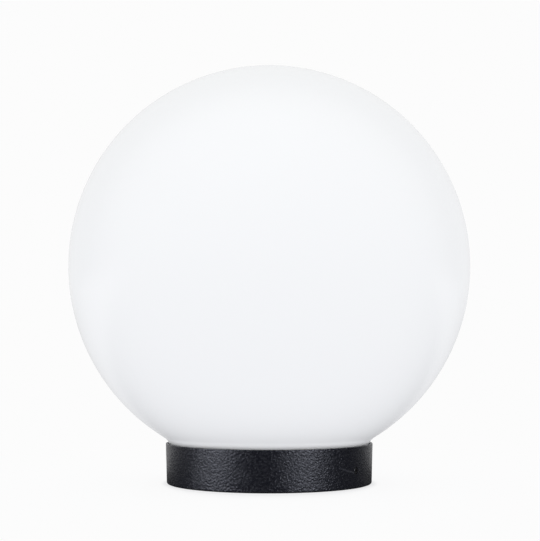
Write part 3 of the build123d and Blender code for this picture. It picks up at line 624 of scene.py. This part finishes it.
@dataclass(frozen=True)
class ZincPlate(Finish):
    """Bright zinc plating with its faint spangle and yellow-blue passivation."""

    roughness: float = 0.28
    spangle_size: float = 2.4 * MM
    spangle_roughness: float = 0.14
    tint_size: float = 9 * MM
    warm: Colour = (1.02, 0.97, 0.84)
    cool: Colour = (0.90, 0.96, 1.02)
    scratch_size: float = 0.9 * MM
    scratch_lay: Point = (1.0, 12.0, 4.0)
    scratch_depth: float = 0.008 * MM
    scratch_roughness: float = 0.1

    def paint(self, graph: Graph) -> None:
        """Adds the spangle, the tint and fine scratches."""
        spangle = graph.cells(self.spangle_size)
        tint = graph.noise(self.tint_size)
        scratches = graph.noise(self.scratch_size, lay=self.scratch_lay)
        texture = self.spangle_roughness * spangle
        graph.surface(
            {
                "Base Color": graph.blend(tint, self.tinted(self.warm), self.tinted(self.cool)),
                "Metallic": 1.0,
                "Roughness": self.roughness + texture + self.scratch_roughness * scratches,
                "Normal": graph.bump(scratches, self.scratch_depth),
            }
        )


@dataclass(frozen=True)
class GlazedCeramic(Finish):
    """Off-white glazed ceramic with pinholes and a warm cast where the glaze pools."""

    roughness: float = 0.16
    coat: float = 0.5
    coat_roughness: float = 0.06
    pool_size: float = 11 * MM
    pool_roughness: float = 0.06
    warm: Colour = (0.97, 0.94, 0.87)
    pinhole_spacing: float = 2.6 * MM
    pinhole_edge: Span = (0.09, 0.04)
    pinhole_share: float = 0.6
    pinhole_roughness: float = 0.3
    dirt: Colour = (0.42, 0.36, 0.28)
    wave_size: float = 3.5 * MM
    wave_height: float = 0.05 * MM

    def paint(self, graph: Graph) -> None:
        """Adds the glaze's waves, pools and pinholes."""
        pools = graph.noise(self.pool_size, detail=3.0)
        pinholes = graph.cells(self.pinhole_spacing).ramp(*self.pinhole_edge)
        colour = graph.blend(pools, self.colour, self.tinted(self.warm))
        texture = self.pinhole_roughness * pinholes
        graph.surface(
            {
                "Base Color": graph.blend(pinholes * self.pinhole_share, colour, self.dirt),
                "Roughness": self.roughness + texture + self.pool_roughness * pools,
                "Normal": graph.bump(graph.noise(self.wave_size), self.wave_height),
                "Coat Weight": self.coat,
                "Coat Roughness": self.coat_roughness,
            }
        )


@dataclass(frozen=True)
class InsulatedWire(Finish):
    """Coloured insulation, with bare stranded copper above the height where it is stripped."""

    roughness: float = 0.42
    copper: Colour = (0.72, 0.36, 0.2)
    copper_polish: float = 0.14
    stripped_above: float = 12.9 * MM
    strip_edge: float = 0.05 * MM
    skin_size: float = 1.5 * MM
    skin_roughness: float = 0.08
    skin_relief: float = 0.3
    skin_shade: float = 0.8
    strand_size: float = 0.5 * MM
    strand_lay: Point = (3.0, 3.0, 0.4)
    depth: float = 0.05 * MM

    def paint(self, graph: Graph) -> None:
        """Adds the insulation's satin skin and the copper end."""
        height = graph.axes()[2]
        bare = height.ramp(
            self.stripped_above - self.strip_edge, self.stripped_above + self.strip_edge
        )
        skin = graph.noise(self.skin_size, detail=3.0)
        strands = graph.noise(self.strand_size, lay=self.strand_lay)
        colour = graph.blend(skin, self.colour, self.tinted(self.skin_shade))
        polished = self.roughness - self.copper_polish * bare
        graph.surface(
            {
                "Base Color": graph.blend(bare, colour, self.copper),
                "Metallic": bare,
                "Roughness": polished + self.skin_roughness * skin,
                "Normal": graph.bump(strands * bare + skin * self.skin_relief, self.depth),
            }
        )


@dataclass(frozen=True)
class CircuitBoard(Finish):
    """Green board lacquer over pale copper tracks, with tin at the joints."""

    roughness: float = 0.34
    track: Colour = (0.11, 0.34, 0.17)
    track_share: float = 0.8
    track_roughness: float = 0.1
    track_relief: float = 0.3
    track_pitch: Span = (2.2 * MM, 3.4 * MM)  # along X and along Z
    upright_edge: Span = (0.72, 0.82)
    level_edge: Span = (0.80, 0.88)
    tin: Colour = (0.7, 0.7, 0.68)
    joint_spacing: float = 3.1 * MM
    joint_edge: Span = (0.16, 0.10)
    depth: float = 0.08 * MM

    def paint(self, graph: Graph) -> None:
        """Adds the tracks and the tinned joints."""
        x, _, z = graph.axes()
        across, up = self.track_pitch
        upright = abs((x * (pi / across)).sine()).ramp(*self.upright_edge)
        level = abs((z * (pi / up)).sine()).ramp(*self.level_edge)
        tracks = upright.high(level)
        joints = graph.cells(self.joint_spacing).ramp(*self.joint_edge)
        colour = graph.blend(tracks * self.track_share, self.colour, self.track)
        graph.surface(
            {
                "Base Color": graph.blend(joints, colour, self.tin),
                "Metallic": joints,
                "Roughness": self.roughness + self.track_roughness * tracks,
                "Normal": graph.bump(tracks * self.track_relief + joints, self.depth),
            }
        )


@dataclass(frozen=True)
class Phosphor(Finish):
    """Yellow phosphor gel in a white frame, a little grainy."""

    roughness: float = 0.3
    coat: float = 0.4
    grain_size: float = 0.18 * MM
    grain_depth: float = 0.02 * MM
    grain_roughness: float = 0.2
    pale: tuple[float, float] = (1.2, 0.04)  # gain and lift

    def paint(self, graph: Graph) -> None:
        """Adds the grain of the phosphor."""
        grain = graph.noise(self.grain_size)
        graph.surface(
            {
                "Base Color": graph.blend(grain, self.colour, self.tinted(*self.pale)),
                "Roughness": self.roughness + self.grain_roughness * grain,
                "Normal": graph.bump(grain, self.grain_depth),
                "Coat Weight": self.coat,
            }
        )


@dataclass(frozen=True)
class FloorPaint(Finish):
    """A pale floor that shows its own shade near the object and plain white further off."""

    white: float = 0.973
    foot: float = 51.0 * MM  # the object's radius on the floor
    haze: Span = (0.66, 0.94)  # share of plain white at the foot and just beyond its shadow
    near: float = 3.4 * MM  # width of the shadow at the foot
    stretch: float = 0.88  # how much wider that shadow is in front
    far: float = 240.0 * MM  # where the floor is plain white
    front: float = 0.99  # light that it sends up, in front and behind
    back: float = 1.03
    depth: float = 110.0 * MM
    room: float = 0.06  # its brightness in reflections, in front and behind
    sky: float = 0.62
    edge: Span = (28.0 * MM, 112.0 * MM)
    lean: float = 0.12
    grain_size: float = 40 * MM
    grain_shade: float = 0.995

    def paint(self, graph: Graph) -> None:
        """Adds the shaded floor and its fade to white."""
        x, y, _ = graph.axes()
        distance = (x * x + y * y) ** 0.5
        seen = graph.seen()
        glossy = graph.ray("Is Glossy Ray")
        mirrored = (y - self.lean * x).ramp(*self.edge).between(self.room, self.sky)
        lit = y.ramp(-self.depth, self.depth).between(self.front, self.back)
        glow = glossy.between(seen.between(lit, self.white), mirrored)
        tone = graph.blend(seen, self.colour, WHITE)
        plain = graph.light("Emission", tone, glow)
        grain = graph.blend(
            graph.noise(self.grain_size, detail=3.0), self.colour, self.tinted(self.grain_shade)
        )
        shaded = graph.node("ShaderNodeBsdfDiffuse", {}, {"Color": grain})
        clear = self.clearness(distance, -y / distance).high(glossy)
        graph.mixed(seen * clear + (1.0 - seen), shaded, plain)

    def clearness(self, distance: Scalar, ahead: Scalar) -> Scalar:
        """The share of plain white over the floor's own shade.

        Args:
            distance: The distance from the object's axis.
            ahead: 1 straight in front of it, 0 and less at its sides and behind.

        Returns:
            The share, from 0 to 1.
        """
        low, high = self.haze
        gap = (distance - self.foot) * (1.0 - self.stretch * ahead.ramp(0.0, 1.0))
        close = gap.ramp(0.0, self.near).between(low, high)
        return close + (1.0 - high) * distance.ramp(self.foot, self.far)


OPAL = OpalAcrylic("opal_acrylic", (0.947, 0.954, 0.982))
BLACK = GrainedPlastic("black_grained_plastic", (0.0019, 0.0021, 0.0037))
RUBBER = MouldedRubber("black_rubber", (0.018, 0.018, 0.019))
NYLON = MouldedPlastic("natural_nylon", (0.82, 0.81, 0.75), roughness=0.45)
POLYAMIDE = MouldedPlastic("white_polyamide", (0.82, 0.81, 0.76), roughness=0.38)
HOUSING_WHITE = MouldedPlastic("white_bulb_housing", (0.86, 0.86, 0.85), roughness=0.4)
BULB_OPAL = MouldedPlastic("satin_bulb_diffuser", (0.9, 0.9, 0.885), roughness=0.5)
BOARD_WHITE = MouldedPlastic("white_solder_mask", (0.88, 0.88, 0.86), roughness=0.3)
BLACK_GLASS = MouldedPlastic("black_glass", (0.012, 0.012, 0.014), roughness=0.12, dust=0.0)
ZINC = ZincPlate("zinc_plate", (0.72, 0.72, 0.70))
BRASS_STAIN: Colour = (0.36, 0.2, 0.08)
BRASS = WorkedMetal("rolled_brass", (0.86, 0.63, 0.30), stain=BRASS_STAIN)
TURNED_BRASS = WorkedMetal(
    "turned_brass", (0.84, 0.62, 0.30), lay=Lay.TURNED, stain=BRASS_STAIN
)
NICKEL = WorkedMetal("nickel_plate", (0.74, 0.72, 0.68), roughness=0.2, lay=Lay.TURNED)
TIN = WorkedMetal("tinned_contact", (0.68, 0.67, 0.64), roughness=0.36, lay=Lay.CAST)
BLACKENED = WorkedMetal(
    "blackened_steel", (0.06, 0.06, 0.065), roughness=0.45, lay=Lay.CAST, stain=(0.04, 0.04, 0.04)
)
CERAMIC = GlazedCeramic("glazed_ceramic", (0.88, 0.87, 0.83))
BROWN_WIRE = InsulatedWire("brown_wire", (0.14, 0.05, 0.022))
BLUE_WIRE = InsulatedWire("blue_wire", (0.03, 0.10, 0.38))
DRIVER_BOARD = CircuitBoard("driver_board", (0.02, 0.14, 0.06))
PHOSPHOR = Phosphor("led_phosphor", (0.82, 0.62, 0.10))
FLOOR = FloorPaint("floor_paint", (0.955, 0.96, 0.985))


# ---------------------------------------------------------------- mesh making


class Turning:
    """A body of revolution: a closed profile of (radius, height) in the XZ plane, spun about Z."""

    def __init__(self, radius: float, height: float) -> None:
        """Starts the profile.

        Args:
            radius: The first point's distance from the axis.
            height: The first point's height.
        """
        self.bm = bmesh.new()
        self.first = self.bm.verts.new((radius, 0.0, height))
        self.last = self.first

    def line(self, radius: float, height: float) -> "Turning":
        """Draws a straight run to a point.

        Args:
            radius: The point's distance from the axis.
            height: Its height.

        Returns:
            This profile, so that runs can follow each other.
        """
        grown = bmesh.ops.extrude_vert_indiv(self.bm, verts=[self.last])
        self.last = grown["verts"][0]
        self.last.co = (radius, 0.0, height)
        return self

    def arc(self, centre: Span, turn: float, steps: int) -> "Turning":
        """Draws an arc from the last point.

        Args:
            centre: The arc's centre, as radius and height.
            turn: The turn in degrees, from +X towards +Z.
            steps: The number of straight pieces.

        Returns:
            This profile.
        """
        spun = bmesh.ops.spin(
            self.bm,
            geom=[self.last],
            cent=(centre[0], 0.0, centre[1]),
            axis=(0.0, -1.0, 0.0),
            angle=radians(turn),
            steps=steps,
        )
        self.last = spun["geom_last"][0]
        return self

    def spin(self, steps: int) -> bmesh.types.BMesh:
        """Closes the profile and spins it a full turn about Z.

        Args:
            steps: The number of faces round the axis.

        Returns:
            The body, with its doubles merged and its faces pointing outwards.
        """
        bm = self.bm
        bmesh.ops.contextual_create(bm, geom=[self.last, self.first])
        bmesh.ops.spin(
            bm,
            geom=bm.verts[:] + bm.edges[:],
            cent=(0.0, 0.0, 0.0),
            axis=(0.0, 0.0, 1.0),
            angle=2.0 * pi,
            steps=steps,
            use_merge=True,
        )
        bmesh.ops.remove_doubles(bm, verts=bm.verts[:], dist=MERGE_DISTANCE)
        bmesh.ops.dissolve_degenerate(bm, dist=DEGENERATE, edges=bm.edges[:])
        bmesh.ops.recalc_face_normals(bm, faces=bm.faces[:])
        return bm


def make_piece(
    name: str, bm: bmesh.types.BMesh, finish: Finish, crease: float = 32.0
) -> bpy.types.Object:
    """Makes an object at the origin from a bmesh.

    Args:
        name: The piece's name.
        bm: Its mesh, which is freed.
        finish: Its finish.
        crease: Edges that turn by more degrees than this stay sharp.

    Returns:
        The object.
    """
    for face in bm.faces:
        face.smooth = True
    for edge in bm.edges:
        if len(edge.link_faces) == 2:
            edge.smooth = edge.calc_face_angle(0.0) < radians(crease)
    mesh = bpy.data.meshes.new(name)
    bm.to_mesh(mesh)
    bm.free()
    mesh.materials.append(finish.material())
    made = bpy.data.objects.new(name, mesh)
    bpy.context.scene.collection.objects.link(made)
    return made


# ---------------------------------------------------------------- sub-assemblies


@dataclass
class GlobeShell:
    """The opal globe: a hollow sphere that flares into a shoulder and a straight neck."""

    radius: float = 100.0 * MM
    wall: float = 2.2 * MM
    flare: float = 8.0 * MM
    shoulder: float = 48.9 * MM
    shoulder_height: float = 1.3 * MM
    neck: float = 45.8 * MM
    neck_length: float = 9.9 * MM
    lip: float = 0.35 * MM
    steps_round: int = 200
    steps_up: int = 110
    steps_flare: int = 14
    steps_lip: int = 4
    crease: float = 50.0

    def build(self) -> None:
        """Makes the globe, which rides on its body in place of its node."""
        globe = make_piece("opal_globe", self.profile().spin(self.steps_round), OPAL, self.crease)
        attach(globe, "globe")
        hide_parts("globe")
        LOG.info("opal_globe: %d faces", len(globe.data.polygons))

    def profile(self) -> Turning:
        """The shell's section, from the top down the outside and up the inside."""
        low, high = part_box("globe")
        lip, corner = self.lip, self.steps_lip
        centre = high.z - self.radius
        seat = low.z + self.neck_length
        flare_z = seat + self.shoulder_height
        flare_r = self.shoulder + self.flare
        meet = degrees(atan2(flare_z - centre, flare_r))
        inner = self.neck - self.wall
        profile = Turning(0.0, centre + self.radius)
        profile.arc((0.0, centre), meet - 90.0, self.steps_up)
        profile.arc((flare_r, flare_z), -meet, self.steps_flare)
        profile.line(self.shoulder, seat + lip)
        profile.arc((self.shoulder - lip, seat + lip), -90.0, corner)
        profile.line(self.neck + lip, seat)
        profile.arc((self.neck + lip, seat - lip), 90.0, corner)
        profile.line(self.neck, low.z + lip)
        profile.arc((self.neck - lip, low.z + lip), -90.0, corner)
        profile.line(inner + lip, low.z)
        profile.arc((inner + lip, low.z + lip), -90.0, corner)
        profile.line(inner, flare_z - self.wall)
        profile.line(self.shoulder - self.wall, flare_z)
        profile.arc((flare_r, flare_z), meet, self.steps_flare)
        profile.arc((0.0, centre), 90.0 - meet, self.steps_up)
        return profile


@dataclass
class Dressed:
    """A sub-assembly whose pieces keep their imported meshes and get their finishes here."""

    finishes: dict[str, Finish] = field(default_factory=dict)

    def build(self) -> None:
        """Gives each piece its finish."""
        for node, finish in self.finishes.items():
            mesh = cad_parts[node].data
            mesh.materials.clear()
            mesh.materials.append(finish.material())
            LOG.info("%s: %s", node, finish.name)


@dataclass
class Base(Dressed):
    """The black base cup, its seals, its cable inlet and its screw inserts."""

    finishes: dict[str, Finish] = field(
        default_factory=lambda: {
            "base_cup": BLACK,
            "globe_seal": RUBBER,
            "base_gasket": RUBBER,
            "cable_grommet": RUBBER,
            "screw_inserts": TURNED_BRASS,
        }
    )


@dataclass
class GlobeFixings(Dressed):
    """The two grub screws and the nylon pads that they press on the globe's neck."""

    finishes: dict[str, Finish] = field(
        default_factory=lambda: {
            "globe_screw_1": BLACKENED,
            "neck_pad_1": NYLON,
            "globe_screw_2": BLACKENED,
            "neck_pad_2": NYLON,
        }
    )


@dataclass
class LampHolder(Dressed):
    """The ceramic holder with its sleeve, contacts, bracket and screws."""

    finishes: dict[str, Finish] = field(
        default_factory=lambda: {
            "holder_body": CERAMIC,
            "holder_shell": BRASS,
            "holder_centre_contact": BRASS,
            "holder_side_contact": BRASS,
            "holder_bracket": ZINC,
            "bracket_screws": ZINC,
            "holder_fixing_screws": ZINC,
            "holder_terminal_screws": ZINC,
        }
    )


@dataclass
class Wiring(Dressed):
    """The terminal block and the two wires to the holder."""

    finishes: dict[str, Finish] = field(
        default_factory=lambda: {
            "terminal_block_body": POLYAMIDE,
            "terminal_tubes": TURNED_BRASS,
            "terminal_screws": ZINC,
            "terminal_block_screw": ZINC,
            "wire_live": BROWN_WIRE,
            "wire_neutral": BLUE_WIRE,
        }
    )


@dataclass
class Bulb(Dressed):
    """The screw-in bulb."""

    finishes: dict[str, Finish] = field(
        default_factory=lambda: {
            "bulb_contact": TIN,
            "bulb_insulator": BLACK_GLASS,
            "bulb_cap": NICKEL,
            "bulb_housing": HOUSING_WHITE,
            "bulb_driver": DRIVER_BOARD,
            "bulb_led_board": BOARD_WHITE,
            "bulb_leds": PHOSPHOR,
            "bulb_diffuser": BULB_OPAL,
        }
    )


# ---------------------------------------------------------------- studio

COLLAR = ("base_cup", "globe_screw_1", "globe_screw_2")


@dataclass
class Softbox:
    """One rectangular soft lamp, which faces the object. With nodes given, it lights only those."""

    name: str
    bearing: float  # right of the front, in degrees
    elevation: float
    size: Span
    radiance: float
    nodes: tuple[str, ...] = ()
    distance: float = 1.0
    aim: Point = (0.0, 0.0, 80.0 * MM)

    def build(self) -> None:
        """Adds the lamp to the scene."""
        width, height = self.size
        lamp = bpy.data.lights.new(self.name, "AREA")
        lamp.shape = "RECTANGLE"
        lamp.size, lamp.size_y = self.size
        lamp.energy = self.radiance * pi * width * height
        made = bpy.data.objects.new(self.name, lamp)
        if self.nodes:
            lit = bpy.data.collections.new(self.name)
            for node in self.nodes:
                lit.objects.link(bpy.data.objects[node])
            made.light_linking.receiver_collection = lit
        turn, rise = radians(self.bearing), radians(self.elevation)
        way = Vector((sin(turn) * cos(rise), -cos(turn) * cos(rise), sin(rise)))
        made.location = Vector(self.aim) + way * self.distance
        made.rotation_euler = (-way).to_track_quat("-Z", "Y").to_euler()
        bpy.context.scene.collection.objects.link(made)


@dataclass
class Studio:
    """The pale floor and backdrop, the soft lamps and the camera."""

    white: float = 0.973
    fill: float = 1.08  # the world's light, of which the front has this much less
    shade: float = 0.04
    shade_edge: Span = (-0.2, -0.9)
    daylight: Colour = (0.993, 0.997, 1.0)
    room: float = 0.12  # the world's brightness in reflections, in front and behind
    horizon: float = 0.76
    horizon_edge: Span = (0.35, 0.95)
    floor_half: float = 6.0
    floor_sides: int = 96
    floor_drop: float = 0.05 * MM
    camera_distance: float = 600.0 * MM
    camera_height: float = 60.3 * MM
    camera_pitch: float = 4.33
    focal_pixels: float = 1192.8
    frame_pixels: float = 541.0
    sensor: float = 36.0
    shift_pixels: float = 0.75
    clip: Span = (0.01, 100.0)
    softboxes: tuple[Softbox, ...] = (
        Softbox("left_strip", -60.0, 9.0, (0.74, 0.45), 8.8, COLLAR),
        Softbox("right_strip", 40.0, 9.0, (0.50, 0.45), 10.6, COLLAR),
        Softbox("top_box", -25.0, 62.0, (0.9, 0.9), 0.06),
    )

    def build(self) -> None:
        """Sets up the whole studio."""
        self.world()
        self.floor()
        for softbox in self.softboxes:
            softbox.build()
        self.camera()
        bpy.context.scene.view_settings.view_transform = "Standard"

    def world(self) -> None:
        """Lights the scene before a white backdrop; reflections show a dimmer room in front."""
        world = bpy.data.worlds.new("studio")
        bpy.context.scene.world = world
        world.use_nodes = True
        graph = Graph(world.node_tree)
        back = graph.axes()[1]
        strength = self.fill - self.shade * back.ramp(*self.shade_edge)
        clear = graph.ray("Is Camera Ray").high(graph.ray("Is Transmission Ray"))
        mirrored = back.ramp(*self.horizon_edge).between(self.room, self.horizon)
        light = graph.light("Background", self.daylight, strength)
        backdrop = graph.light("Background", WHITE, clear.between(mirrored, self.white))
        graph.mixed(graph.seen(), light, backdrop, end="World")

    def floor(self) -> None:
        """Makes the floor, which keeps the object's shadow and fades into the white backdrop."""
        bm = bmesh.new()
        bmesh.ops.create_circle(
            bm, cap_ends=True, segments=self.floor_sides, radius=self.floor_half
        )
        bmesh.ops.translate(bm, verts=bm.verts[:], vec=(0.0, 0.0, -self.floor_drop))
        floor = make_piece("floor", bm, FLOOR)
        floor.data.materials[0].cycles.emission_sampling = "NONE"

    def camera(self) -> None:
        """Places the camera at the photograph's viewing angle."""
        lens = bpy.data.cameras.new("camera")
        lens.sensor_width = self.sensor
        lens.lens = self.focal_pixels * self.sensor / self.frame_pixels
        lens.shift_x = self.shift_pixels / self.frame_pixels
        lens.clip_start, lens.clip_end = self.clip
        camera = bpy.data.objects.new("camera", lens)
        camera.location = (0.0, -self.camera_distance, self.camera_height)
        camera.rotation_euler = (radians(90.0 + self.camera_pitch), 0.0, 0.0)
        bpy.context.scene.collection.objects.link(camera)
        bpy.context.scene.camera = camera


def main() -> None:
    """Builds every sub-assembly in order, then the studio."""
    logging.basicConfig(level=logging.INFO, format="%(name)s %(message)s")
    parts = (GlobeShell(), Base(), GlobeFixings(), LampHolder(), Wiring(), Bulb())
    for assembly in (*parts, Studio()):
        assembly.build()
        LOG.info("%s built", type(assembly).__name__)


if __name__ == "__main__":
    main()
